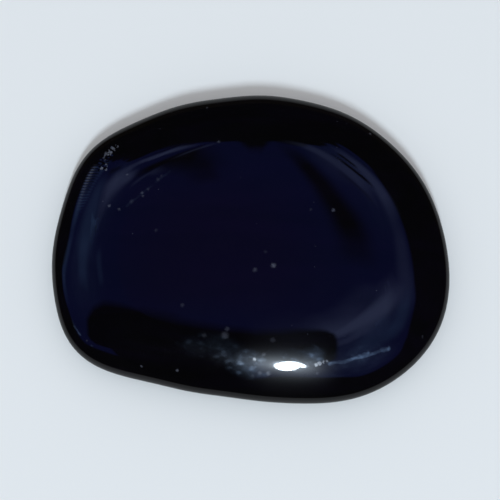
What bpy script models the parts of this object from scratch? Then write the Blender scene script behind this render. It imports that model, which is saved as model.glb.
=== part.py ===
# Obsidian slice: one polished slice of black volcanic glass.
#
# The back is the flat saw cut, with its edge rounded over.  From the widest line the
# face turns in round a tight girdle, climbs a soft shoulder and runs out into a low
# dome.  Dimensions are in millimetres and degrees, +Z is up, and the origin is on the
# flat back, under the middle of the stone's box.

import bpy
import bmesh
import numpy as np
from math import cos, radians, sin

for old in list(bpy.data.objects):
    bpy.data.objects.remove(old, do_unlink=True)

MM = 0.001

# Plan of the widest line: its distance from the middle of the slice every 15 degrees,
# from +X round towards +Y.  Two blunt corners at the left, one round end at the right.
OUTLINE_RADII = [23.2, 22.6, 21.9, 21.1, 20.3, 19.6,
                 19.3, 19.4, 20.2, 21.5, 22.9, 22.9,
                 23.2, 23.5, 23.3, 20.7, 18.4, 17.4,
                 17.4, 18.4, 20.3, 22.2, 23.5, 23.8]
SEGMENTS = 96

MEAN_HALF_WIDTH = 19.0      # how far the face runs in from the widest line
WIDEST_HEIGHT = 1.9         # height of the widest line above the back
BACK_EDGE_RADIUS = 1.9      # rounding under the widest line
GIRDLE_RADIUS = 2.2         # tight turn above the widest line
GIRDLE_SLOPE = 42.0         # slope where the girdle meets the shoulder
SHOULDER_RADIUS = 11.5
DOME_SLOPE = 7.0            # slope where the shoulder meets the dome

BACK_EDGE_STEPS = 6
GIRDLE_STEPS = 5
SHOULDER_STEPS = 7
DOME_STEPS = 6


def outline_radius(angle):
    """Smooth closed curve through OUTLINE_RADII, as a short trigonometric series."""
    waves = np.fft.rfft(OUTLINE_RADII) / len(OUTLINE_RADII)
    radius = waves[0].real
    for n in range(1, len(waves)):
        weight = 1.0 if 2 * n == len(OUTLINE_RADII) else 2.0
        radius += weight * (waves[n] * np.exp(1j * n * angle)).real
    return radius


def ring_radius(inset, angle):
    """Plan radius of the ring that lies `inset` inside the widest line.

    Near the edge every ring follows the outline at an even distance; further in the
    rings ease into circles, so the dome closes smoothly at its top.
    """
    rho = 1.0 - inset / MEAN_HALF_WIDTH
    follow = 2.0 * rho**2 - rho**4
    return rho * MEAN_HALF_WIDTH + (outline_radius(angle) - MEAN_HALF_WIDTH) * follow


def profile():
    """Section of the slice as (inset, height) pairs, from the flat back to the dome."""
    points = []
    for i in range(BACK_EDGE_STEPS):
        turn = radians(90.0) * (1.0 - i / BACK_EDGE_STEPS)
        points.append((BACK_EDGE_RADIUS * (1.0 - cos(turn)),
                       WIDEST_HEIGHT - BACK_EDGE_RADIUS * sin(turn)))

    girdle_end = sin(radians(GIRDLE_SLOPE))
    dome_end = sin(radians(DOME_SLOPE))
    shoulder_inset = GIRDLE_RADIUS * (1.0 - girdle_end)
    dome_inset = shoulder_inset + SHOULDER_RADIUS * (girdle_end - dome_end)
    dome_radius = (MEAN_HALF_WIDTH - dome_inset) / dome_end

    inset, height = 0.0, WIDEST_HEIGHT
    arcs = [(90.0, GIRDLE_SLOPE, GIRDLE_RADIUS, GIRDLE_STEPS),
            (GIRDLE_SLOPE, DOME_SLOPE, SHOULDER_RADIUS, SHOULDER_STEPS),
            (DOME_SLOPE, 0.0, dome_radius, DOME_STEPS)]
    for slope_from, slope_to, radius, steps in arcs:
        for i in range(steps):
            slope = radians(slope_from + (slope_to - slope_from) * i / steps)
            points.append((inset + radius * (sin(radians(slope_from)) - sin(slope)),
                           height + radius * (cos(slope) - cos(radians(slope_from)))))
        inset += radius * (sin(radians(slope_from)) - sin(radians(slope_to)))
        height += radius * (cos(radians(slope_to)) - cos(radians(slope_from)))
    return points, height


def build_slice():
    bm = bmesh.new()
    section, top = profile()
    rings = []
    for level, (inset, height) in enumerate(section):
        last = level == len(section) - 1
        made = bmesh.ops.create_circle(bm, segments=SEGMENTS, radius=1.0,
                                       cap_ends=level == 0 or last, cap_tris=last)
        rim = []
        for vert in made["verts"]:
            if vert.co.length < 0.5:
                vert.co = (0.0, 0.0, top * MM)
                continue
            angle = np.arctan2(vert.co.y, vert.co.x)
            radius = ring_radius(inset, angle)
            vert.co = (radius * cos(angle) * MM, radius * sin(angle) * MM, height * MM)
            rim.append(vert)
        rings.append(rim)

    for lower, upper in zip(rings, rings[1:]):
        for side in range(SEGMENTS):
            after = (side + 1) % SEGMENTS
            bm.faces.new((lower[side], lower[after], upper[after], upper[side]))
    bmesh.ops.recalc_face_normals(bm, faces=bm.faces)

    # the origin goes under the middle of the box
    xs = [vert.co.x for vert in bm.verts]
    ys = [vert.co.y for vert in bm.verts]
    middle = ((max(xs) + min(xs)) / 2.0, (max(ys) + min(ys)) / 2.0, 0.0)
    bmesh.ops.translate(bm, verts=bm.verts, vec=[-value for value in middle])

    mesh = bpy.data.meshes.new("obsidian_slice")
    bm.to_mesh(mesh)
    bm.free()
    mesh.shade_smooth()
    mesh.set_sharp_from_angle(angle=radians(35.0))
    return mesh


def polished_obsidian():
    material = bpy.data.materials.new("polished_obsidian")
    material.use_nodes = True
    shader = material.node_tree.nodes["Principled BSDF"]
    shader.inputs["Base Color"].default_value = (0.003, 0.003, 0.007, 1.0)
    shader.inputs["Roughness"].default_value = 0.04
    shader.inputs["Metallic"].default_value = 0.0
    shader.inputs["IOR"].default_value = 1.49
    return material


slice_mesh = build_slice()
slice_mesh.materials.append(polished_obsidian())
stone = bpy.data.objects.new("obsidian_slice", slice_mesh)
bpy.context.collection.objects.link(stone)
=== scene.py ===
import random
from math import cos, pi, radians, sin

import bpy
import numpy as np
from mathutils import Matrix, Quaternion, Vector, noise


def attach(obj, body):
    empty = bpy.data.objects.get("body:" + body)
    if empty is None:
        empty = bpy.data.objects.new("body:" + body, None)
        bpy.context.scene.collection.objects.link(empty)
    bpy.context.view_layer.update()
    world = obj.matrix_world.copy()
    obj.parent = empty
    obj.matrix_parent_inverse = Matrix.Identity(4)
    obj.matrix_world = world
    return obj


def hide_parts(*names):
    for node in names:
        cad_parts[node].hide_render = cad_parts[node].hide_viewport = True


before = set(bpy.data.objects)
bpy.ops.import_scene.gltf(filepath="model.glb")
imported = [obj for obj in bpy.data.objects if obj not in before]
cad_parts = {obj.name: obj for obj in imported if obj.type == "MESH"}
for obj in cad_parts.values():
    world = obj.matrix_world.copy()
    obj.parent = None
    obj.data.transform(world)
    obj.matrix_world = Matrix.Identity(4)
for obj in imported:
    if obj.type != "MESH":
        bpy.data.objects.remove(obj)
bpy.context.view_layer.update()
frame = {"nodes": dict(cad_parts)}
mm = 0.001
print("frame loaded:", ", ".join(frame["nodes"]))


# node helpers: a value given as a socket is linked, anything else is set on the node
def setInput(tree, socket, value):
    if hasattr(value, "is_output"):
        tree.links.new(value, socket)
    else:
        socket.default_value = value


def addNode(tree, kind, inputs=None, **settings):
    node = tree.nodes.new(kind)
    for name, value in settings.items():
        setattr(node, name, value)
    for name, value in (inputs or {}).items():
        setInput(tree, node.inputs[name], value)
    return node


def calculate(tree, operation, *values, clamp=False):
    node = addNode(tree, "ShaderNodeMath", operation=operation, use_clamp=clamp)
    for slot, value in enumerate(values):
        setInput(tree, node.inputs[slot], value)
    return node.outputs[0]


def vectorMath(tree, operation, *values):
    node = addNode(tree, "ShaderNodeVectorMath", operation=operation)
    for slot, value in enumerate(values):
        setInput(tree, node.inputs[slot], value)
    scalar = operation in ("LENGTH", "DISTANCE", "DOT_PRODUCT")
    return node.outputs["Value" if scalar else "Vector"]


def scaled(tree, vector, factor):
    return addNode(tree, "ShaderNodeVectorMath", operation="SCALE",
                   inputs={0: vector, "Scale": factor}).outputs["Vector"]


# a soft step from one value to another
def ramp(tree, value, low, high, toLow=0.0, toHigh=1.0):
    node = addNode(tree, "ShaderNodeMapRange", interpolation_type="SMOOTHSTEP",
                   inputs={"Value": value, "From Min": low, "From Max": high,
                           "To Min": toLow, "To Max": toHigh})
    return node.outputs["Result"]


def blendColours(tree, amount, first, second):
    node = addNode(tree, "ShaderNodeMix", data_type="RGBA")
    for slot, value in ((0, amount), (6, first), (7, second)):
        setInput(tree, node.inputs[slot], value)
    return node.outputs[2]


def mixShaders(tree, share, first, second):
    mix = addNode(tree, "ShaderNodeMixShader")
    for slot, value in enumerate((share, first, second)):
        setInput(tree, mix.inputs[slot], value)
    return mix.outputs[0]


def newGroup(name, inputs, outputs):
    group = bpy.data.node_groups.new(name, "ShaderNodeTree")
    for socketName, kind, value in inputs:
        socket = group.interface.new_socket(name=socketName, in_out="INPUT",
                                            socket_type="NodeSocket" + kind)
        if value is not None:
            socket.default_value = value
    for socketName, kind in outputs:
        group.interface.new_socket(name=socketName, in_out="OUTPUT",
                                   socket_type="NodeSocket" + kind)
    given = group.nodes.new("NodeGroupInput").outputs
    result = group.nodes.new("NodeGroupOutput").inputs
    return group, given, result


def useGroup(tree, group, **values):
    node = addNode(tree, "ShaderNodeGroup", node_tree=group)
    for name, value in values.items():
        setInput(tree, node.inputs[name], value)
    return node.outputs


slab = {
    # distance from the middle to the widest line every 15 degrees, from +X to +Y, in mm
    "outlineRadii": [23.2, 22.6, 21.9, 21.1, 20.3, 19.6,
                     19.3, 19.4, 20.2, 21.5, 22.9, 22.9,
                     23.2, 23.5, 23.3, 20.7, 18.4, 17.4,
                     17.4, 18.4, 20.3, 22.2, 23.5, 23.8],
    "meanHalfWidth": 19.0,
    "widestHeight": 1.9,
    "backEdgeRadius": 1.9,
    "girdleRadius": 2.2,
    "girdleSlope": 42.0,          # degrees, where the girdle passes into the shoulder
    "shoulderRadius": 11.5,
    "domeSlope": 7.0,             # degrees, where the shoulder passes into the face
    "turnStep": 1.0,              # degrees between the spokes of the mesh
    "cornerTurns": (140.0, 170.0),   # the scarred corner has finer spokes
    "cornerTurnStep": 0.13,
    "backEdgeSteps": 14,
    "girdleSteps": 12,
    "shoulderSteps": 100,
    "domeSteps": 36,
    "backRings": 7,
}

# wear of the polished face, in mm on the slice, as seen from above
wear = {
    "leastDepth": 0.0005,         # keeps the face just inside the unworn form
    "waveDepth": 0.008,           # slow waves left by polishing by hand
    "waveLength": 11.0,
    "rippleDepth": 0.0012,
    "rippleLength": 3.2,
    "waveStart": 0.2,             # the flat back stays flat: height where waves set in
    "waveBlend": 1.2,
    "faceHeight": 3.0,            # scars and teeth are only above this height
    # shell-shaped scars that the polish didn't reach, in a band over the far left shoulder;
    # some are frosted inside
    "scarBand": [(-15.85, 11.35), (-16.6, 10.9), (-17.0, 10.1), (-17.15, 9.4), (-17.35, 8.7)],
    "scars": 150,
    "scarSpread": 0.22,
    "scarRadius": (0.11, 0.26),
    "scarSlope": (0.16, 0.46),
    "frostedShare": 0.22,
    "scarFrost": (0.15, 0.9),
    # fine teeth left by the grinding wheel along the same shoulder
    "chatterTurns": (151.0, 168.0),
    "chatterInset": 2.50,
    "chatterWidth": 0.42,
    "chatterPitch": 0.38,
    "chatterDepth": 0.034,
    "chatterRadius": 22.0,        # of the row of teeth, round the middle
    "chatterLean": 0.35,
    "chatterFade": (0.05, 0.2),   # radians at the row's two ends
    "brimOffset": 0.35,           # the frosted brim of the teeth
    "brimWidth": 0.2,
    "brimFrost": 0.38,
    "nicks": 11,                  # small chips along the edge of the back
    "nickRadius": (0.25, 0.6),
    "nickDepth": (0.05, 0.12),
    "nickHeight": (0.15, 1.1),
    "seed": 7,
}


def outlineRadius(angle):
    # smooth closed curve through the outline radii
    radii = slab["outlineRadii"]
    waves = np.fft.rfft(radii) / len(radii)
    radius = np.full_like(angle, waves[0].real)
    for n in range(1, len(waves)):
        weight = 1.0 if 2 * n == len(radii) else 2.0
        radius = radius + weight * (waves[n] * np.exp(1j * n * angle)).real
    return radius


def sliceSection():
    # inset, height and tilt of the surface, from the rim of the flat back to the top
    s = slab
    points = []
    for i in range(s["backEdgeSteps"]):
        turn = 0.5 * pi * (1.0 - i / s["backEdgeSteps"])
        points.append((s["backEdgeRadius"] * (1.0 - cos(turn)),
                       s["widestHeight"] - s["backEdgeRadius"] * sin(turn),
                       0.5 * pi + turn))
    girdleEnd, domeEnd = sin(radians(s["girdleSlope"])), sin(radians(s["domeSlope"]))
    domeInset = (s["girdleRadius"] * (1.0 - girdleEnd)
                 + s["shoulderRadius"] * (girdleEnd - domeEnd))
    domeRadius = (s["meanHalfWidth"] - domeInset) / domeEnd
    inset, height = 0.0, s["widestHeight"]
    for slopeFrom, slopeTo, radius, steps in (
            (90.0, s["girdleSlope"], s["girdleRadius"], s["girdleSteps"]),
            (s["girdleSlope"], s["domeSlope"], s["shoulderRadius"], s["shoulderSteps"]),
            (s["domeSlope"], 0.0, domeRadius, s["domeSteps"])):
        start, end = radians(slopeFrom), radians(slopeTo)
        for i in range(steps):
            slope = start + (end - start) * i / steps
            points.append((inset + radius * (sin(start) - sin(slope)),
                           height + radius * (cos(slope) - cos(start)), slope))
        inset += radius * (sin(start) - sin(end))
        height += radius * (cos(end) - cos(start))
    return points, height


def spokes():
    first, last = slab["cornerTurns"]
    fine = np.arange(first, last, slab["cornerTurnStep"])
    coarse = np.linspace(last, first + 360.0, int((360.0 - last + first) / slab["turnStep"]),
                         endpoint=False)
    return np.radians(np.concatenate([fine, coarse]))


def backEdgePoint(turn, height, middle):
    drop = (slab["widestHeight"] - height) / slab["backEdgeRadius"]
    inset = slab["backEdgeRadius"] * (1.0 - (1.0 - drop**2)**0.5)
    radius = float(outlineRadius(np.array([turn]))[0]) - inset
    return radius * cos(turn) - middle[0], radius * sin(turn) - middle[1]


def wearDepth(points, turns, insets, middle):
    # how far each point is worn in along its normal, in mm
    w = wear
    dice = random.Random(w["seed"])
    x, y, z = points.T

    depth = np.zeros(len(points))
    for i, point in enumerate(points):
        slow = noise.noise(Vector(point) / w["waveLength"])
        quick = noise.noise(Vector(point) / w["rippleLength"] + Vector((5.0, 1.0, 9.0)))
        depth[i] = (w["leastDepth"] + w["waveDepth"] * (0.5 + 0.5 * slow)
                    + w["rippleDepth"] * (0.5 + 0.5 * quick))
    depth *= np.clip((z - w["waveStart"]) / w["waveBlend"], 0.0, 1.0)

    onFace = z > w["faceHeight"]
    scarred, frost = np.zeros(len(points)), np.zeros(len(points))
    band = w["scarBand"]
    for _ in range(w["scars"]):
        along = dice.random() * (len(band) - 1)
        (x0, y0), (x1, y1) = band[int(along)], band[int(along) + 1]
        share = along - int(along)
        cx = x0 + (x1 - x0) * share + dice.gauss(0.0, w["scarSpread"])
        cy = y0 + (y1 - y0) * share + dice.gauss(0.0, w["scarSpread"])
        radius = dice.uniform(*w["scarRadius"])
        deep = radius * dice.uniform(*w["scarSlope"]) / 2.0     # for that slope at its rim
        near = ((x - cx)**2 + (y - cy)**2) / radius**2
        bowl = np.where((near < 1.0) & onFace, deep * (1.0 - near), 0.0)
        frosted = dice.uniform(*w["scarFrost"]) if dice.random() < w["frostedShare"] else 0.0
        frost = np.where(bowl > scarred, frosted, frost)
        scarred = np.maximum(scarred, bowl)              # sharp ridges where scars meet
    depth += scarred

    first, last = (radians(turn) for turn in w["chatterTurns"])
    across = np.exp(-((insets - w["chatterInset"]) / w["chatterWidth"])**2)
    fadeIn, fadeOut = w["chatterFade"]
    fade = (np.clip((turns - first) / fadeIn, 0.0, 1.0)
            * np.clip((last - turns) / fadeOut, 0.0, 1.0))
    along = turns * w["chatterRadius"] + w["chatterLean"] * insets
    teeth = 0.5 + 0.5 * np.cos(along * 2.0 * pi / w["chatterPitch"])
    depth += np.where(onFace, w["chatterDepth"] * across * fade * teeth, 0.0)
    brim = np.exp(-((insets - w["chatterInset"] + w["brimOffset"]) / w["brimWidth"])**2)
    frost = np.maximum(frost, np.where(onFace, w["brimFrost"] * brim * fade * teeth, 0.0))

    for _ in range(w["nicks"]):
        height = dice.uniform(*w["nickHeight"])
        cx, cy = backEdgePoint(dice.uniform(0.0, 2.0 * pi), height, middle)
        radius, deep = dice.uniform(*w["nickRadius"]), dice.uniform(*w["nickDepth"])
        near = ((x - cx)**2 + (y - cy)**2 + (z - height)**2) / radius**2
        depth += np.where(near < 1.0, deep * (1.0 - near)**2, 0.0)
    return depth, frost


def sliceMesh():
    section, top = sliceSection()
    turns = spokes()
    outline = outlineRadius(turns)
    half, count = slab["meanHalfWidth"], len(turns)

    firstInset = section[0][0]
    rings = [((1.0 - firstInset / half) * k / (slab["backRings"] + 1), half, 0.0, pi)
             for k in range(1, slab["backRings"] + 1)]
    rings += [(1.0 - inset / half, inset, height, tilt) for inset, height, tilt in section]

    points, tilts, insets = [np.zeros((1, 3))], [pi], [half]
    for rho, inset, height, tilt in rings:
        radius = rho * half + (outline - half) * (2.0 * rho**2 - rho**4)
        points.append(np.stack([radius * np.cos(turns), radius * np.sin(turns),
                                np.full(count, height)], axis=1))
        tilts += [tilt] * count
        insets += [inset] * count
    points = np.concatenate(points + [np.array([[0.0, 0.0, top]])])
    tilts, insets = np.array(tilts + [0.0]), np.array(insets + [half])
    angles = np.concatenate([[0.0], np.tile(turns, len(rings)), [0.0]])
    normals = np.stack([np.sin(tilts) * np.cos(angles), np.sin(tilts) * np.sin(angles),
                        np.cos(tilts)], axis=1)

    middle = (points.max(axis=0) + points.min(axis=0)) / 2.0
    points[:, :2] -= middle[:2]
    depth, frost = wearDepth(points, angles % (2.0 * pi), insets, middle)
    points -= normals * depth[:, None]

    faces = [(0, 1 + (side + 1) % count, 1 + side) for side in range(count)]
    for ring in range(len(rings) - 1):
        a, b = 1 + ring * count, 1 + (ring + 1) * count
        for side in range(count):
            after = (side + 1) % count
            faces.append((a + side, a + after, b + after, b + side))
    last, peak = 1 + (len(rings) - 1) * count, len(points) - 1
    faces += [(last + side, last + (side + 1) % count, peak) for side in range(count)]

    mesh = bpy.data.meshes.new("polishedSlice")
    mesh.from_pydata((points * mm).tolist(), [], faces)
    mesh.shade_smooth()
    mesh.attributes.new("frost", "FLOAT", "POINT").data.foreach_set("value", frost)
    return mesh, middle


def dustMotesGroup():
    # sparse soft dots scattered through space and cut by the surface
    group, given, result = newGroup(
        "dustMotes",
        [("Place", "Vector", None), ("Cell", "Float", 1.5), ("Size", "Float", 0.1),
         ("Share", "Float", 0.5)],
        [("Mask", "Float")])
    cells = addNode(group, "ShaderNodeTexVoronoi", voronoi_dimensions="3D",
                    inputs={"Vector": given["Place"], "Randomness": 1.0,
                            "Scale": calculate(group, "DIVIDE", 1.0, given["Cell"])})
    pick = addNode(group, "ShaderNodeSeparateColor", inputs={"Color": cells.outputs["Color"]})
    reach = calculate(group, "MULTIPLY", cells.outputs["Distance"], given["Cell"])
    size = calculate(group, "MULTIPLY", given["Size"],
                     calculate(group, "ADD", 0.5, pick.outputs["Red"]))
    dot = ramp(group, reach, size, calculate(group, "MULTIPLY", size, 0.35))
    kept = calculate(group, "LESS_THAN", pick.outputs["Green"], given["Share"])
    group.links.new(calculate(group, "MULTIPLY", dot, kept), result["Mask"])
    return group


def dustSpotGroup():
    # one mote at a chosen place
    group, given, result = newGroup(
        "dustSpot",
        [("Place", "Vector", None), ("Centre", "Vector", None), ("Size", "Float", 0.15),
         ("Strength", "Float", 1.0)],
        [("Mask", "Float")])
    away = vectorMath(group, "DISTANCE", given["Place"], given["Centre"])
    dot = ramp(group, away, given["Size"], calculate(group, "MULTIPLY", given["Size"], 0.1))
    group.links.new(calculate(group, "MULTIPLY", dot, given["Strength"]), result["Mask"])
    return group


def hairlineGroup():
    # a fine soft line from Start to End
    group, given, result = newGroup(
        "hairline",
        [("Place", "Vector", None), ("Start", "Vector", None), ("End", "Vector", None),
         ("Width", "Float", 0.1), ("Strength", "Float", 1.0)],
        [("Mask", "Float")])
    run = vectorMath(group, "SUBTRACT", given["End"], given["Start"])
    offset = vectorMath(group, "SUBTRACT", given["Place"], given["Start"])
    along = calculate(group, "DIVIDE", vectorMath(group, "DOT_PRODUCT", offset, run),
                      vectorMath(group, "DOT_PRODUCT", run, run), clamp=True)
    foot = scaled(group, run, along)
    line = ramp(group, vectorMath(group, "DISTANCE", offset, foot), given["Width"], 0.0)
    group.links.new(calculate(group, "MULTIPLY", line, given["Strength"]), result["Mask"])
    return group


def softOvalGroup():
    # a soft oval patch, turned about Z
    group, given, result = newGroup(
        "softOval",
        [("Place", "Vector", None), ("Centre", "Vector", None), ("Reach", "Vector", None),
         ("Turn", "Float", 0.0), ("Strength", "Float", 1.0)],
        [("Mask", "Float")])
    offset = vectorMath(group, "SUBTRACT", given["Place"], given["Centre"])
    turned = addNode(group, "ShaderNodeVectorRotate", rotation_type="Z_AXIS",
                     inputs={"Vector": offset,
                             "Angle": calculate(group, "MULTIPLY", given["Turn"], -pi / 180.0)})
    away = vectorMath(group, "LENGTH", vectorMath(group, "DIVIDE", turned.outputs["Vector"],
                                                  given["Reach"]))
    soft = ramp(group, away, 1.0, 0.1)
    group.links.new(calculate(group, "MULTIPLY", soft, given["Strength"]), result["Mask"])
    return group


def mottleGroup():
    # patchy inside of a smear or a film, a little dragged along X
    group, given, result = newGroup(
        "mottle",
        [("Place", "Vector", None), ("Grain", "Float", 0.5)],
        [("Mask", "Float"), ("Wobble", "Vector")])
    dragged = addNode(group, "ShaderNodeMapping", inputs={
        "Vector": given["Place"], "Rotation": (0.0, 0.0, radians(25.0)),
        "Scale": (0.65, 1.0, 1.0)}).outputs["Vector"]
    scale = calculate(group, "DIVIDE", 1.0, given["Grain"])
    coarse = addNode(group, "ShaderNodeTexNoise", inputs={
        "Vector": dragged, "Scale": scale, "Detail": 3.0, "Roughness": 0.55})
    dabs = addNode(group, "ShaderNodeTexVoronoi", inputs={
        "Vector": dragged, "Scale": calculate(group, "MULTIPLY", scale, 1.1),
        "Randomness": 1.0})
    patchy = calculate(group, "MULTIPLY", ramp(group, coarse.outputs["Fac"], 0.32, 0.66),
                       ramp(group, dabs.outputs["Distance"], 0.62, 0.05, 0.30, 1.0))
    group.links.new(patchy, result["Mask"])
    group.links.new(vectorMath(group, "SUBTRACT", coarse.outputs["Color"], (0.5, 0.5, 0.5)),
                    result["Wobble"])
    return group


def flowBandsGroup():
    # slow bands of the cooled flow, long in one direction
    group, given, result = newGroup(
        "flowBands",
        [("Place", "Vector", None), ("Spacing", "Float", 4.0)],
        [("Mask", "Float")])
    lean = addNode(group, "ShaderNodeMapping", inputs={
        "Vector": given["Place"], "Rotation": (0.0, radians(8.0), radians(-17.0)),
        "Scale": (0.18, 1.0, 1.0)}).outputs["Vector"]
    bands = addNode(group, "ShaderNodeTexNoise", inputs={
        "Vector": lean, "Scale": calculate(group, "DIVIDE", 1.0, given["Spacing"]),
        "Detail": 5.0, "Roughness": 0.6, "Distortion": 0.8})
    group.links.new(ramp(group, bands.outputs["Fac"], 0.35, 0.68), result["Mask"])
    return group


dustMotes, dustSpot, hairline = dustMotesGroup(), dustSpotGroup(), hairlineGroup()
flowBands, softOval, mottle = flowBandsGroup(), softOvalGroup(), mottleGroup()
print("shared effects ready")

# the polished face: colours, then marks as places in mm on the slice
glass = {
    "deep": (0.0011, 0.0010, 0.0013, 1.0),
    "band": (0.0015, 0.0011, 0.0026, 1.0),      # faint violet flow bands
    "dust": (0.062, 0.066, 0.085),
    # bluish grease: real smudges, and round the glint also a painted glow
    "greaseAndGlow": (0.066, 0.100, 0.158, 1.0),
    "frost": (0.100, 0.108, 0.135, 1.0),
    "roughness": 0.035,
    "hazeRoughness": 0.31,
    "ior": 1.49,
    "bandSpacing": 5.0,
    "patchGrain": 0.8,            # size of the dabs in the smears
    "waver": 0.55,                # how far lines and smears stray from their course
    "fray": 0.35,                 # how uneven the motes are
    "frayScale": 4.0,
    "fineDust": {"Cell": 1.3, "Size": 0.055, "Share": 0.4},
    "fineStrength": 0.5,
    "betweenDabs": 0.16,          # what is left of a smear between its dabs
    "linesBetween": 0.35,         # and of a line
    "film": (0.002, 0.022),
    "filmScale": 0.22,
    "greaseHaze": 0.25,
    "greaseRoughness": 0.10,
    "dustRoughness": 0.3,
    # dust motes; the four strong ones just right of the glint paint a bright piece of it. Place,
    # size, strength
    "motes": [((2.6, -3.5, 7.1), 0.40, 0.72), ((0.5, -4.0, 7.1), 0.36, 0.32),
              ((1.7, -1.9, 7.1), 0.28, 0.12), ((9.5, 3.1, 6.7), 0.30, 0.48),
              ((6.9, 3.1, 6.9), 0.24, 0.12), ((-10.8, 0.7, 6.8), 0.30, 0.2),
              ((-16.3, 3.8, 6.0), 0.26, 0.56), ((-15.1, 3.3, 6.3), 0.26, 0.36),
              ((-12.5, 5.2, 6.5), 0.26, 0.4), ((-12.4, 4.8, 6.5), 0.20, 0.32),
              ((-11.8, 5.6, 6.5), 0.24, 0.16), ((-13.7, 4.2, 6.4), 0.34, 0.14),
              ((-10.7, 6.8, 6.5), 0.30, 0.13), ((-10.3, 7.2, 6.5), 0.26, 0.14),
              ((-14.3, 7.5, 6.1), 0.20, 0.56), ((-7.7, -8.0, 6.7), 0.32, 0.2),
              ((-12.4, -14.6, 4.2), 0.22, 0.56), ((-8.3, -15.1, 4.5), 0.22, 0.64),
              ((-3.7, 11.4, 6.3), 0.26, 0.48), ((-5.2, 16.3, 4.3), 0.22, 0.56),
              ((14.2, 13.2, 3.9), 0.22, 0.72), ((2.5, -11.9, 6.4), 0.42, 0.18),
              ((-2.9, -11.4, 6.4), 0.58, 0.32), ((-2.6, -10.7, 6.5), 0.40, 0.24),
              ((-5.2, -11.4, 6.3), 0.38, 0.16), ((0.45, -14.0, 5.8), 0.36, 0.56),
              ((1.5, -13.5, 6.0), 0.32, 0.36), ((1.1, -15.5, 5.1), 0.36, 0.44),
              ((2.0, -15.5, 5.1), 0.38, 0.48), ((0.2, -15.8, 5.0), 0.34, 0.28),
              ((7.4, -14.6, 5.7), 0.30, 1.28), ((7.75, -14.45, 5.7), 0.32, 1.76),
              ((8.2, -14.3, 5.7), 0.24, 0.8), ((8.6, -14.2, 5.7), 0.26, 0.9),
              ((7.5, -15.5, 5.2), 0.30, 0.24),
              ((-18.6, -11.6, 4.2), 0.20, 0.28), ((19.7, -11.2, 4.0), 0.20, 0.4)],
    # grease smears, thickest beside the glint so that they also paint part of its glow; the fourth
    # sits on the glint and is a painted glow. Centre, reach along and across, turn in degrees,
    # strength
    "smearsAndGlow": [((-2.9, -13.0, 6.0), (4.2, 1.9, 3.0), -25.0, 0.18),
               ((-0.1, -14.5, 5.6), (3.3, 1.9, 3.0), -12.0, 0.90),
               ((-6.2, -12.6, 6.0), (2.6, 1.4, 3.0), -15.0, 0.10),
               ((4.3, -14.2, 5.7), (4.4, 1.6, 3.0), 0.0, 0.45),
               ((6.9, -13.7, 5.8), (1.9, 1.4, 2.0), 10.0, 0.95),
               ((11.6, -13.8, 5.5), (4.6, 1.5, 3.0), 14.0, 0.20)],
    "glowing": ((4.4, -14.2, 5.6), (6.8, 6.4, 6.0), 0.0, 0.35),
    # grease lines; the first four, the pale streak along the shoulder right of the glint, are
    # partly a painted stretch of its light. Start, end, half width, strength
    "hairlines": [((8.9, -14.5, 5.6), (12.3, -13.8, 5.5), 0.30, 0.62),
                  ((10.6, -14.2, 5.5), (13.3, -13.3, 5.4), 0.36, 0.90),
                  ((12.2, -13.8, 5.5), (14.8, -13.0, 5.3), 0.28, 0.80),
                  ((14.8, -12.9, 5.3), (15.6, -12.7, 5.1), 0.38, 0.90),
                  ((-20.35, -9.4, 4.0), (-19.4, -10.9, 4.2), 0.22, 0.26),
                  ((-18.0, -12.2, 4.1), (-16.45, -13.0, 4.2), 0.22, 0.28),
                  ((-14.2, 3.7, 6.4), (-9.3, 7.8, 6.4), 0.26, 0.05)],
}


def millimetres(tree):
    return scaled(tree, addNode(tree, "ShaderNodeTexCoord").outputs["Object"], 1.0 / mm)


def strongest(tree, masks):
    total = masks[0]
    for mask in masks[1:]:
        total = calculate(tree, "MAXIMUM", total, mask)
    return total


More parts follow.
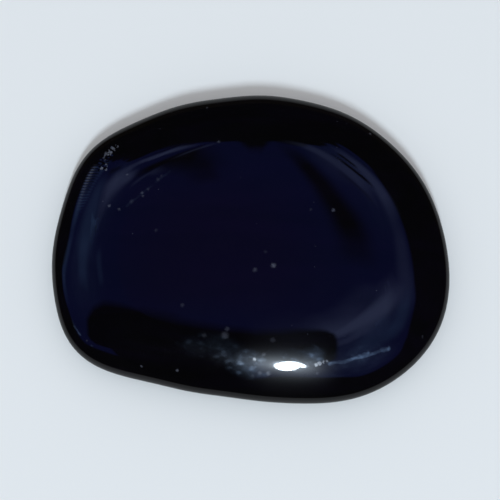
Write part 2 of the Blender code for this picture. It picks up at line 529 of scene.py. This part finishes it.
def polishedGlass():
    material = bpy.data.materials.new("polishedGlass")
    material.use_nodes = True
    tree = material.node_tree
    shader = tree.nodes["Principled BSDF"]
    shader.inputs["IOR"].default_value = glass["ior"]
    shader.inputs["Coat IOR"].default_value = glass["ior"]
    shader.inputs["Coat Roughness"].default_value = glass["hazeRoughness"]
    place = millimetres(tree)

    bands = useGroup(tree, flowBands, Place=place, Spacing=glass["bandSpacing"])["Mask"]
    colour = blendColours(tree, bands, glass["deep"], glass["band"])

    patchy = useGroup(tree, mottle, Place=place, Grain=glass["patchGrain"])
    wavering = vectorMath(tree, "ADD", place, scaled(tree, patchy["Wobble"], glass["waver"]))
    fray = addNode(tree, "ShaderNodeTexNoise", inputs={
        "Vector": place, "Scale": glass["frayScale"], "Detail": 2.0}).outputs["Color"]
    fray = vectorMath(tree, "SUBTRACT", fray, (0.5, 0.5, 0.5))
    frayed = vectorMath(tree, "ADD", place, scaled(tree, fray, glass["fray"]))

    fine = useGroup(tree, dustMotes, Place=place, **glass["fineDust"])["Mask"]
    dust = strongest(tree, [calculate(tree, "MULTIPLY", fine, glass["fineStrength"])] + [
        useGroup(tree, dustSpot, Place=frayed, Centre=centre, Size=size,
                 Strength=strength)["Mask"]
        for centre, size, strength in glass["motes"]])
    # grease lines; those right of the glint paint a stretched piece of its light
    lines = strongest(tree, [
        useGroup(tree, hairline, Place=wavering, Start=start, End=end, Width=width,
                 Strength=strength)["Mask"]
        for start, end, width, strength in glass["hairlines"]])
    broken = ramp(tree, patchy["Mask"], 0.0, 0.5, glass["linesBetween"], 1.0)
    lines = calculate(tree, "MULTIPLY", lines, broken)
    smearsAndGlow = strongest(tree, [
        useGroup(tree, softOval, Place=wavering, Centre=centre, Reach=reach, Turn=turn,
                 Strength=strength)["Mask"]
        for centre, reach, turn, strength in glass["smearsAndGlow"]])
    dabbed = ramp(tree, patchy["Mask"], 0.0, 1.0, glass["betweenDabs"], 1.0)
    # grease mask, strongest round the glint, where it paints a glow into the colour as well as
    # real smudges
    greaseAndGlow = calculate(tree, "MAXIMUM", calculate(tree, "MULTIPLY", smearsAndGlow, dabbed), lines)
    frost = addNode(tree, "ShaderNodeAttribute", attribute_name="frost").outputs["Fac"]
    colour = blendColours(tree, greaseAndGlow, colour, glass["greaseAndGlow"])
    colour = blendColours(tree, frost, colour, glass["frost"])
    # dust colour; the strong motes beside the glint paint a bright piece of it
    colour = vectorMath(tree, "ADD", colour, scaled(tree, glass["dust"], dust))
    tree.links.new(colour, shader.inputs["Base Color"])

    # a thin uneven film from handling, thicker where it is smeared
    thin = addNode(tree, "ShaderNodeTexNoise", inputs={
        "Vector": place, "Scale": glass["filmScale"], "Detail": 6.0, "Roughness": 0.7})
    film = ramp(tree, thin.outputs["Fac"], 0.4, 0.75, *glass["film"])
    centre, reach, turn, strength = glass["glowing"]
    around = useGroup(tree, softOval, Place=place, Centre=centre, Reach=reach, Turn=turn,
                      Strength=strength)["Mask"]
    film = calculate(tree, "ADD", film, around)
    haze = calculate(tree, "ADD", calculate(tree, "MULTIPLY", greaseAndGlow, glass["greaseHaze"]),
                     film, clamp=True)
    tree.links.new(haze, shader.inputs["Coat Weight"])

    dull = calculate(tree, "ADD", calculate(tree, "MULTIPLY", dust, glass["dustRoughness"]),
                     calculate(tree, "MULTIPLY", frost, glass["dustRoughness"]), clamp=True)
    rough = calculate(tree, "ADD", glass["roughness"], dull)
    rough = calculate(tree, "ADD", rough,
                      calculate(tree, "MULTIPLY", greaseAndGlow, glass["greaseRoughness"]))
    tree.links.new(rough, shader.inputs["Roughness"])
    return material


cutBack = {
    "dark": (0.005, 0.005, 0.006, 1.0),
    "powder": (0.060, 0.060, 0.066, 1.0),       # stone dust left in the cut
    "band": (0.016, 0.012, 0.020, 1.0),
    "roughness": (0.32, 0.56),
    "bandSpacing": 4.0,
    "bandStrength": 0.4,
    "bandPowder": 0.6,            # how much powder is left between the bands
    "markDepth": 0.03,
    "markTurn": 9.0,              # degrees between the blade's marks and the Y axis
    "markStretch": 0.04,
    "markScale": 0.9,
    "markPowder": (0.12, 1.3),    # powder on the ridges and in the marks
    "gritScale": 9.0,
    "gritShare": 0.4,             # of the relief, the marks make the rest
    "relief": 0.35,
    "dust": {"Cell": 1.3, "Size": 0.07, "Share": 0.5},
    "flatBelow": 0.001,           # mm, what counts as the back
    # stray scratches: start, end, half width, strength
    "scratches": [((-15.0, -4.0, 0.0), (-3.5, 3.0, 0.0), 0.13, 0.55),
                  ((-9.0, 8.5, 0.0), (2.0, 10.5, 0.0), 0.10, 0.40),
                  ((1.0, -9.5, 0.0), (13.0, -5.0, 0.0), 0.12, 0.45),
                  ((6.0, 2.0, 0.0), (12.5, 8.0, 0.0), 0.10, 0.50),
                  ((-6.0, -11.0, 0.0), (-1.0, -6.0, 0.0), 0.09, 0.35)],
}


def sawnBack():
    # honed dull, with the blade's fine parallel marks
    material = bpy.data.materials.new("sawnBack")
    material.use_nodes = True
    tree = material.node_tree
    shader = tree.nodes["Principled BSDF"]
    shader.inputs["IOR"].default_value = glass["ior"]
    place = millimetres(tree)
    bands = useGroup(tree, flowBands, Place=place, Spacing=cutBack["bandSpacing"])["Mask"]
    along = addNode(tree, "ShaderNodeMapping", inputs={
        "Vector": place, "Rotation": (0.0, 0.0, radians(cutBack["markTurn"])),
        "Scale": (1.0, cutBack["markStretch"], 1.0)}).outputs["Vector"]
    cut = addNode(tree, "ShaderNodeTexNoise", inputs={
        "Vector": along, "Scale": cutBack["markScale"], "Detail": 6.0,
        "Roughness": 0.75}).outputs["Fac"]
    grit = addNode(tree, "ShaderNodeTexNoise", inputs={
        "Vector": place, "Scale": cutBack["gritScale"], "Detail": 6.0,
        "Roughness": 0.75}).outputs["Fac"]
    motes = useGroup(tree, dustMotes, Place=place, **cutBack["dust"])["Mask"]
    powder = calculate(tree, "MULTIPLY", grit,
                       ramp(tree, cut, 0.34, 0.66, *cutBack["markPowder"]))
    powder = calculate(tree, "MULTIPLY", powder,
                       ramp(tree, bands, 0.0, 1.0, cutBack["bandPowder"], 1.0))
    scratched = strongest(tree, [
        useGroup(tree, hairline, Place=place, Start=start, End=end, Width=width,
                 Strength=strength)["Mask"]
        for start, end, width, strength in cutBack["scratches"]])
    powder = calculate(tree, "MAXIMUM", powder, scratched)
    powder = calculate(tree, "ADD", powder, motes, clamp=True)
    colour = blendColours(tree, powder, cutBack["dark"], cutBack["powder"])
    banded = calculate(tree, "MULTIPLY", bands, cutBack["bandStrength"])
    colour = blendColours(tree, banded, colour, cutBack["band"])
    tree.links.new(colour, shader.inputs["Base Color"])
    tree.links.new(ramp(tree, grit, 0.3, 0.7, *cutBack["roughness"]),
                   shader.inputs["Roughness"])
    height = calculate(tree, "ADD",
                       calculate(tree, "MULTIPLY", cut, 1.0 - cutBack["gritShare"]),
                       calculate(tree, "MULTIPLY", grit, cutBack["gritShare"]))
    bump = addNode(tree, "ShaderNodeBump", inputs={
        "Height": height, "Strength": cutBack["relief"],
        "Distance": cutBack["markDepth"] * mm})
    tree.links.new(bump.outputs["Normal"], shader.inputs["Normal"])
    return material


mesh, middle = sliceMesh()
stone = bpy.data.objects.new("polished_slice", mesh)
bpy.context.collection.objects.link(stone)
mesh.materials.append(polishedGlass())
mesh.materials.append(sawnBack())
for face in mesh.polygons:
    if face.center.z < cutBack["flatBelow"] * mm:
        face.material_index = 1
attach(stone, "root")
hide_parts("obsidian_slice")
print("slice built:", len(mesh.polygons), "faces")


shot = {
    "elevation": 77.0,
    "distance": 150.0,        # mm from the aim point
    "frameWidth": 58.4,       # mm across the picture at the aim point
    "aimHeight": 3.0,
    "sensor": 36.0,
    "clip": (5.0, 5000.0),
}
tip = radians(shot["elevation"])
aim = Vector((-middle[0], -middle[1], shot["aimHeight"])) * mm
back = Vector((0.0, -cos(tip), sin(tip)))
right = Vector((1.0, 0.0, 0.0))
above = back.cross(right)
lens = aim + back * shot["distance"] * mm

camera = bpy.data.objects.new("camera", bpy.data.cameras.new("camera"))
bpy.context.collection.objects.link(camera)
camera.data.sensor_width = shot["sensor"]
camera.data.lens = shot["sensor"] * shot["distance"] / shot["frameWidth"]
camera.data.clip_start, camera.data.clip_end = (limit * mm for limit in shot["clip"])
camera.location = lens
camera.rotation_mode = "QUATERNION"
camera.rotation_quaternion = (-back).to_track_quat("-Z", "Y")
bpy.context.scene.camera = camera
bpy.context.scene.view_settings.view_transform = "Standard"
print("camera set")


floorLook = {
    "halfSize": 2000.0,
    "drop": 0.01,                 # keeps it clear of the flat back
    "colour": (0.72, 0.72, 0.71, 1.0),
    "roughness": 0.8,
    "specular": 0.2,
    # a painted reflection: the gloss sees this dark warm glow in place of the lit floor, fully
    # further out and partly near the stone
    "mirrored": (0.022, 0.018, 0.011, 1.0),   # what the stone mirrors of it further out
    "mirrorReach": (32.0, 46.0),
    "paintedReflectionShare": 0.62,
}


def makeFloor():
    h = floorLook["halfSize"] * mm
    mesh = bpy.data.meshes.new("floor")
    mesh.from_pydata([(-h, -h, 0), (h, -h, 0), (h, h, 0), (-h, h, 0)], [], [(0, 1, 2, 3)])
    floor = bpy.data.objects.new("floor", mesh)
    floor.location.z = -floorLook["drop"] * mm
    bpy.context.collection.objects.link(floor)
    material = bpy.data.materials.new("paleFloor")
    material.use_nodes = True
    tree = material.node_tree
    shader = tree.nodes["Principled BSDF"]
    shader.inputs["Base Color"].default_value = floorLook["colour"]
    shader.inputs["Roughness"].default_value = floorLook["roughness"]
    shader.inputs["Specular IOR Level"].default_value = floorLook["specular"]
    place = addNode(tree, "ShaderNodeTexCoord").outputs["Object"]
    inner, outer = floorLook["mirrorReach"]
    dim = ramp(tree, vectorMath(tree, "LENGTH", place), inner * mm, outer * mm,
               floorLook["paintedReflectionShare"], 1.0)
    # glossy rays get the dark glow instead of the lit floor, a painted dark reflection
    glossy = addNode(tree, "ShaderNodeLightPath").outputs["Is Glossy Ray"]
    dark = addNode(tree, "ShaderNodeEmission",
                   inputs={"Color": floorLook["mirrored"], "Strength": 1.0})
    surface = mixShaders(tree, calculate(tree, "MULTIPLY", dim, glossy), shader.outputs[0],
                         dark.outputs[0])
    tree.links.new(surface, tree.nodes["Material Output"].inputs["Surface"])
    mesh.materials.append(material)


def showInGlossOnly(thing):
    thing.visible_camera = thing.visible_diffuse = thing.visible_shadow = False


# light that thins out where the mesh's fade falls
def fadedGlow(name, colour):
    material = bpy.data.materials.new(name)
    material.use_nodes = True
    tree = material.node_tree
    tree.nodes.clear()
    fade = addNode(tree, "ShaderNodeAttribute", attribute_name="fade").outputs["Fac"]
    clear = addNode(tree, "ShaderNodeBsdfTransparent")
    glow = addNode(tree, "ShaderNodeEmission", inputs={"Color": colour, "Strength": 1.0})
    output = addNode(tree, "ShaderNodeOutputMaterial")
    tree.links.new(mixShaders(tree, fade, clear.outputs[0], glow.outputs[0]),
                   output.inputs["Surface"])
    return material


# a dark card that hangs level with the lens: mm to the right of the lens, mm above it,
# and how far its edge is blurred to each side
darkCard = {
    "outline": [(-113, 29, 6.5), (-74, 31, 5.8), (-45, 31.5, 5), (-32, 22.5, 4.3),
                (-24, 15.5, 3.6), (-12, 11, 3.2), (-3, 10, 2.9), (7, 13, 2.5), (15, 16.8, 1.9),
                (21, 18.6, 1.5), (26, 20.2, 1.4), (30, 20.4, 1.4), (33, 17.6, 1.4),
                (36, 11.6, 1.4), (39, 3, 1.5), (42, -9, 1.7), (44, -22, 2.1), (46, -44, 2.5),
                (45, -56, 2.5), (38, -64, 2.5), (26, -68, 2.5), (-4, -72, 2.9), (-16, -84, 3.6),
                (-24, -170, 5.8), (-34, -330, 5.8), (-118, -330, 5.8), (-126, -126, 5.8),
                (-184, -122, 7.9), (-212, -104, 10.1), (-220, -80, 13), (-204, -50, 13),
                (-196, -20, 11.5), (-176, 0, 8.6), (-150, 17, 7.2)],
    "colour": (0.0, 0.0, 0.0, 1.0),
}


def hangCard():
    corners = [Vector((u, v)) for u, v, _ in darkCard["outline"]]
    count = len(corners)
    outer, inner = [], []
    for i, corner in enumerate(corners):
        run = corners[(i + 1) % count] - corners[i - 1]
        blur = Vector((-run.y, run.x)).normalized() * darkCard["outline"][i][2]
        outer.append(corner + blur)
        inner.append(corner - blur)
    points = [lens + (right * u + above * v) * mm for u, v in outer + inner]
    faces = [(i, (i + 1) % count, count + (i + 1) % count, count + i) for i in range(count)]
    faces.append(tuple(range(count, 2 * count)))
    mesh = bpy.data.meshes.new("darkCard")
    mesh.from_pydata(points, [], faces)
    fades = [0.0] * count + [1.0] * count
    mesh.attributes.new("fade", "FLOAT", "POINT").data.foreach_set("value", fades)
    mesh.materials.append(fadedGlow("darkCard", darkCard["colour"]))
    card = bpy.data.objects.new("dark_card", mesh)
    bpy.context.collection.objects.link(card)
    showInGlossOnly(card)


# soft streaks high over the stone, as paths of azimuth and elevation in degrees, with the
# reach to each side at both ends and the strength
streaks = {
    "distance": 10000.0,
    "steps": 4,                   # between two points of a path
    "strands": 4,                 # to each side of it
    "endFade": 4.0,               # a quarter of the path fades in, a quarter fades out
    "core": 1.25,                 # how soon the middle is at full strength
    "dark": [([(66.0, 61.4), (61.0, 62.0), (54.0, 61.0), (47.0, 59.6)], 1.2, 1.6, 0.35),
             ([(83.6, 58.0), (80.4, 60.0), (76.9, 61.7), (72.4, 63.3), (67.8, 64.8), (63.2, 66.4),
               (58.5, 67.7), (54.5, 68.6), (48.6, 69.9), (43.0, 71.6), (38.5, 73.0)],
              0.9, 3.2, 1.0),
             ([(67.7, 51.9), (61.4, 53.2), (58.1, 53.1), (53.8, 52.4), (48.5, 51.2)],
              1.8, 1.6, 1.0),
             ([(65.5, 48.8), (62.9, 48.6), (60.0, 49.1), (57.0, 48.6)], 1.6, 1.4, 0.9),
             ([(125.0, 55.5), (119.0, 57.6), (111.0, 58.8), (108.0, 59.0), (105.0, 59.4),
               (102.0, 60.0), (96.0, 59.2)], 3.6, 5.4, 1.0),
             ([(136.5, 36.0), (132.0, 40.0), (127.0, 42.0)], 3.5, 2.0, 0.6),
             ([(103.0, 61.0), (102.8, 63.0), (102.6, 66.0)], 2.0, 2.4, 0.5)],
    "pale": [([(82.5, 54.6), (76.0, 54.8), (69.7, 57.0), (63.3, 57.8), (57.0, 56.0),
               (48.0, 53.6)], 2.6, 8.5, 0.46),
             ([(67.0, 44.0), (60.1, 46.5), (54.9, 47.0), (48.8, 48.5), (41.8, 49.5),
               (33.0, 50.0)], 3.5, 8.0, 0.54),
             ([(40.0, 50.4), (29.4, 52.0), (23.5, 53.4), (16.1, 54.6), (5.6, 54.0),
               (352.0, 51.0)], 6.0, 11.0, 0.24),
             ([(140.0, 45.0), (133.0, 46.6), (126.0, 48.0), (119.0, 48.4)], 6.0, 2.6, 0.5),
             ([(124.0, 47.6), (118.0, 48.4), (111.5, 49.4), (108.0, 50.6), (106.0, 52.2),
               (101.5, 54.6)], 2.6, 1.6, 0.62),
             ([(148.0, 42.0), (143.0, 45.0), (138.0, 48.5), (132.0, 52.0), (126.0, 54.5),
               (120.0, 55.5)], 7.0, 3.5, 0.66),
             ([(287.6, 76.4), (316.7, 79.9), (340.5, 78.8), (349.6, 76.7), (353.8, 73.9),
               (357.5, 70.3), (1.2, 65.3), (7.5, 61.6), (15.1, 59.1)], 6.0, 8.5, 0.94),
             ([(297.5, 73.8), (311.9, 73.2), (321.3, 70.9), (332.5, 70.1), (340.5, 68.2),
               (347.9, 66.1)], 4.0, 4.0, 0.36),
             ([(10.2, 80.8), (15.0, 79.1), (18.4, 77.6), (21.8, 76.0), (24.8, 74.3),
               (20.4, 70.4), (17.9, 65.3), (20.1, 60.9)], 1.6, 3.0, 0.15)],
    "fine": [([(131.0, 59.6), (121.4, 61.3), (115.0, 62.0), (109.3, 61.4)], 1.4, 1.0, 0.26),
             ([(115.0, 49.6), (113.5, 50.4), (110.9, 50.9), (109.1, 50.2), (106.4, 48.4)],
              1.4, 1.6, 0.50),
             ([(107.4, 59.6), (105.1, 58.5), (103.0, 58.3), (100.0, 57.4), (97.2, 54.9)],
              1.2, 1.4, 0.34)],
    "cool": [([(143.0, 43.5), (146.7, 40.6), (149.8, 38.4), (152.1, 38.4), (155.1, 39.2),
               (161.8, 40.2), (167.0, 41.0)], 11.0, 13.0, 0.36),
             ([(154.5, 39.4), (161.8, 40.4), (168.0, 40.6), (175.5, 40.2)], 6.0, 8.0, 0.36),
             ([(156.0, 53.4), (162.9, 56.0), (169.5, 57.6)], 3.0, 3.0, 0.20),
             ([(8.0, 51.5), (358.0, 52.5), (351.0, 52.0), (345.0, 51.0), (338.0, 50.0),
               (328.0, 48.5)], 7.0, 8.5, 0.34),
             ([(130.0, 23.0), (134.5, 26.5), (138.0, 27.2), (141.0, 26.6), (144.5, 25.6),
               (149.0, 24.0), (153.0, 23.0)], 6.0, 4.0, 0.34),
             ([(138.5, 25.0), (143.0, 21.0), (148.1, 20.6), (152.7, 19.8), (157.0, 21.6)],
              5.5, 4.5, 0.62),
             ([(152.0, 20.0), (160.0, 21.4), (165.0, 20.2), (169.0, 17.4), (172.5, 15.4),
               (176.0, 15.6), (183.0, 18.6)], 4.5, 3.6, 0.38),
             ([(311.0, 62.0), (321.7, 58.5), (332.0, 55.5), (347.0, 53.0)], 10.0, 13.0, 0.25)],
    "darkColour": (0.006, 0.006, 0.010, 1.0),
    "paleColour": (0.40, 0.51, 1.12, 1.0),
    "coolColour": (0.24, 0.46, 1.10, 1.0),
}


def skyward(azimuth, elevation):
    a, e = radians(azimuth), radians(elevation)
    return Vector((cos(a) * cos(e), sin(a) * cos(e), sin(e)))


def hangStreaks(name, paths, colour, distance):
    steps, strands = streaks["steps"], streaks["strands"]
    row = 2 * strands + 1
    points, fades, faces = [], [], []
    for path, startWidth, endWidth, strength in paths:
        spine = []
        for (a, b) in zip(path, path[1:]):
            spine += [skyward(*a).lerp(skyward(*b), k / steps) for k in range(steps)]
        spine.append(skyward(*path[-1]))
        first = len(points)
        for i, spot in enumerate(spine):
            share = i / (len(spine) - 1)
            run = spine[min(i + 1, len(spine) - 1)] - spine[max(i - 1, 0)]
            side = spot.cross(run).normalized()
            wide = radians(startWidth + (endWidth - startWidth) * share)
            end = min(1.0, streaks["endFade"] * share, streaks["endFade"] * (1.0 - share))
            for k in range(-strands, strands + 1):
                points.append((spot + side * wide * k / strands).normalized() * distance * mm)
                soft = min(1.0, streaks["core"] * (1.0 - abs(k) / strands))
                fades.append(strength * end * soft * soft * (3.0 - 2.0 * soft))
        for i in range(len(spine) - 1):
            for k in range(row - 1):
                a = first + row * i + k
                faces.append((a, a + 1, a + row + 1, a + row))
    mesh = bpy.data.meshes.new(name)
    mesh.from_pydata(points, [], faces)
    mesh.attributes.new("fade", "FLOAT", "POINT").data.foreach_set("value", fades)
    mesh.materials.append(fadedGlow(name, colour))
    thing = bpy.data.objects.new(name, mesh)
    bpy.context.collection.objects.link(thing)
    showInGlossOnly(thing)


# an oval lamp with a weaker one beside it, taller than wide
key = {
    "distance": 2000.0,
    "colour": (0.76, 0.89, 1.0),
    # azimuth, elevation, roll, width and height in degrees as seen from the stone, power
    "lamps": [(-90.2, 49.4, -10.0, 3.3, 12.8, 25.5), (-86.3, 51.2, 0.0, 1.9, 5.5, 2.0)],
}


def hangKey():
    for azimuth, elevation, roll, wide, tall, power in key["lamps"]:
        light = bpy.data.objects.new("key", bpy.data.lights.new("key", "AREA"))
        bpy.context.collection.objects.link(light)
        light.data.energy = power
        light.data.color = key["colour"]
        light.data.shape = "ELLIPSE"
        light.data.size = radians(wide) * key["distance"] * mm
        light.data.size_y = radians(tall) * key["distance"] * mm
        towards = skyward(azimuth, elevation)
        light.location = towards * key["distance"] * mm
        light.rotation_mode = "QUATERNION"
        light.rotation_quaternion = (towards.to_track_quat("Z", "Y")
                                     @ Quaternion((0.0, 0.0, 1.0), radians(roll)))


# a soft evening-blue canopy that only the gloss sees; below a skyline, given as azimuth and
# elevation in degrees, it is dark
canopy = {
    "skyline": [(0, 43), (12, 45.5), (33, 45), (42, 44), (49, 41.5), (55, 39), (60, 38), (65, 40),
                (71, 47), (76, 53), (80, 56.6), (84.5, 56.4), (87.3, 59.2), (91, 59.2), (94, 56.2),
                (99, 52.6), (104, 50), (107, 48.2), (109, 46.6), (111, 45.4), (114, 44),
                (118, 42), (123, 38), (128, 31), (131.5, 25), (135, 21.5), (138, 18), (140.3, 15),
                (144.8, 16), (149.5, 15.2), (152.7, 14.2), (155.5, 15.8), (158.5, 17.6),
                (163, 18.6), (167, 17.6), (169, 16), (171, 12.2), (175.6, 12), (180, 13.6),
                (186, 16.6), (194, 17.6), (203, 17.2), (213, 18), (221, 21), (232, 24), (258, 25),
                (271, 35), (287, 34), (301, 28), (317, 27), (332, 34), (348, 41.5), (360, 43)],
    # how ragged the skyline is along the azimuth
    "ragged": [(0, 0.0), (40, 0.0), (52, 0.8), (60, 1.0), (74, 0.6), (84, 0.25), (98, 0.4),
               (106, 0.9), (116, 1.2), (134, 0.9), (141, 0.1), (150, 0.0), (360, 0.0)],
    "deepBlue": (0.026, 0.042, 0.290, 1.0),
    "paleBlue": (0.34, 0.52, 1.20, 1.0),
    "dark": (0.006, 0.006, 0.007, 1.0),
    # azimuth, elevation, reach in degrees and strength of each pale patch
    "clouds": [(352, 67, 12, 0.36), (330, 66, 18, 0.26), (2, 51, 13, 0.16), (308, 44, 20, 0.32),
               (282, 36, 14, 0.24), (55, 52, 18, 0.20), (134, 47, 14, 0.16),
               (168, 38, 26, 0.10)],
    "violet": (0.042, 0.036, 0.250, 1.0),       # a faint warm tone behind the zenith
    "violetAt": (108, 78, 18),
    "leafScale": (3.5, 16.0),     # round and up, per radian
    "leafReach": 0.35,
    "edge": (-0.012, 0.035),      # where the skyline passes into the sky, in radians
    "wispScale": 5.0,
    "wisps": (0.45, 1.25),        # thinnest and thickest cloud
    "fill": (0.62, 0.63, 0.66, 1.0),            # plain light from all round
    "backdrop": (0.8, 0.8, 0.79, 1.0),          # what stands behind the floor
}


def turnCurve(tree, turn, points, scale):
    curve = addNode(tree, "ShaderNodeFloatCurve", inputs={"Value": turn})
    line = curve.mapping.curves[0].points
    line[0].location = (0.0, points[0][1] / scale)
    line[1].location = (1.0, points[-1][1] / scale)
    line[0].handle_type = line[1].handle_type = "AUTO_CLAMPED"
    for azimuth, value in points[1:-1]:
        line.new(azimuth / 360.0, value / scale).handle_type = "AUTO_CLAMPED"
    curve.mapping.update()
    return curve.outputs[0]


def makeSurroundings():
    world = bpy.data.worlds.new("surroundings")
    bpy.context.scene.world = world
    world.use_nodes = True
    tree = world.node_tree
    tree.nodes.clear()
    direction = addNode(tree, "ShaderNodeTexCoord").outputs["Generated"]
    parts = addNode(tree, "ShaderNodeSeparateXYZ", inputs={"Vector": direction}).outputs
    azimuth = calculate(tree, "ARCTAN2", parts["Y"], parts["X"])
    turn = calculate(tree, "FRACT", calculate(tree, "DIVIDE", azimuth, 2.0 * pi))
    elevation = calculate(tree, "ARCSINE", parts["Z"])
    skyline = calculate(tree, "MULTIPLY", pi / 2.0,
                        turnCurve(tree, turn, canopy["skyline"], 90.0))

    leafRound, leafUp = canopy["leafScale"]
    along = addNode(tree, "ShaderNodeCombineXYZ", inputs={
        "X": calculate(tree, "MULTIPLY", azimuth, leafRound),
        "Y": calculate(tree, "MULTIPLY", elevation, leafUp)}).outputs[0]
    leaves = addNode(tree, "ShaderNodeTexNoise", inputs={
        "Vector": along, "Scale": 1.0, "Detail": 4.0, "Roughness": 0.6,
        "Distortion": 0.5}).outputs["Fac"]
    ragged = calculate(tree, "MULTIPLY", calculate(tree, "SUBTRACT", leaves, 0.5),
                       calculate(tree, "MULTIPLY", canopy["leafReach"],
                                 turnCurve(tree, turn, canopy["ragged"], 1.0)))
    over = calculate(tree, "ADD", calculate(tree, "SUBTRACT", elevation, skyline), ragged)
    clear = ramp(tree, over, *canopy["edge"])

    glow = 0.0
    for cloudAzimuth, cloudElevation, reach, strength in canopy["clouds"]:
        near = vectorMath(tree, "DISTANCE", direction, skyward(cloudAzimuth, cloudElevation))
        patch = ramp(tree, near, radians(reach), 0.0, 0.0, strength)
        glow = calculate(tree, "ADD", glow, patch)
    wisps = addNode(tree, "ShaderNodeTexNoise", inputs={
        "Vector": direction, "Scale": canopy["wispScale"], "Detail": 6.0, "Roughness": 0.62,
        "Distortion": 1.2}).outputs["Fac"]
    cloud = calculate(tree, "MULTIPLY", glow, ramp(tree, wisps, 0.30, 0.68, *canopy["wisps"]),
                      clamp=True)
    azimuthAt, elevationAt, reach = canopy["violetAt"]
    near = vectorMath(tree, "DISTANCE", direction, skyward(azimuthAt, elevationAt))
    clearSky = blendColours(tree, ramp(tree, near, radians(reach), radians(reach) * 0.3),
                            canopy["deepBlue"], canopy["violet"])
    sky = blendColours(tree, cloud, clearSky, canopy["paleBlue"])
    mirrored = blendColours(tree, clear, canopy["dark"], sky)

    rays = addNode(tree, "ShaderNodeLightPath").outputs
    plain = blendColours(tree, rays["Is Camera Ray"], canopy["fill"], canopy["backdrop"])
    colour = blendColours(tree, rays["Is Glossy Ray"], plain, mirrored)
    background = addNode(tree, "ShaderNodeBackground",
                         inputs={"Color": colour, "Strength": 1.0})
    output = addNode(tree, "ShaderNodeOutputWorld")
    tree.links.new(background.outputs[0], output.inputs["Surface"])


makeFloor()
hangCard()
# the sets hang one behind the other
for kind, colour, layer in (("dark", "darkColour", 1.0), ("fine", "paleColour", 0.98),
                            ("pale", "paleColour", 1.02), ("cool", "coolColour", 1.04)):
    hangStreaks(kind + "_streaks", streaks[kind], streaks[colour],
                streaks["distance"] * layer)
hangKey()
makeSurroundings()
print("studio ready")
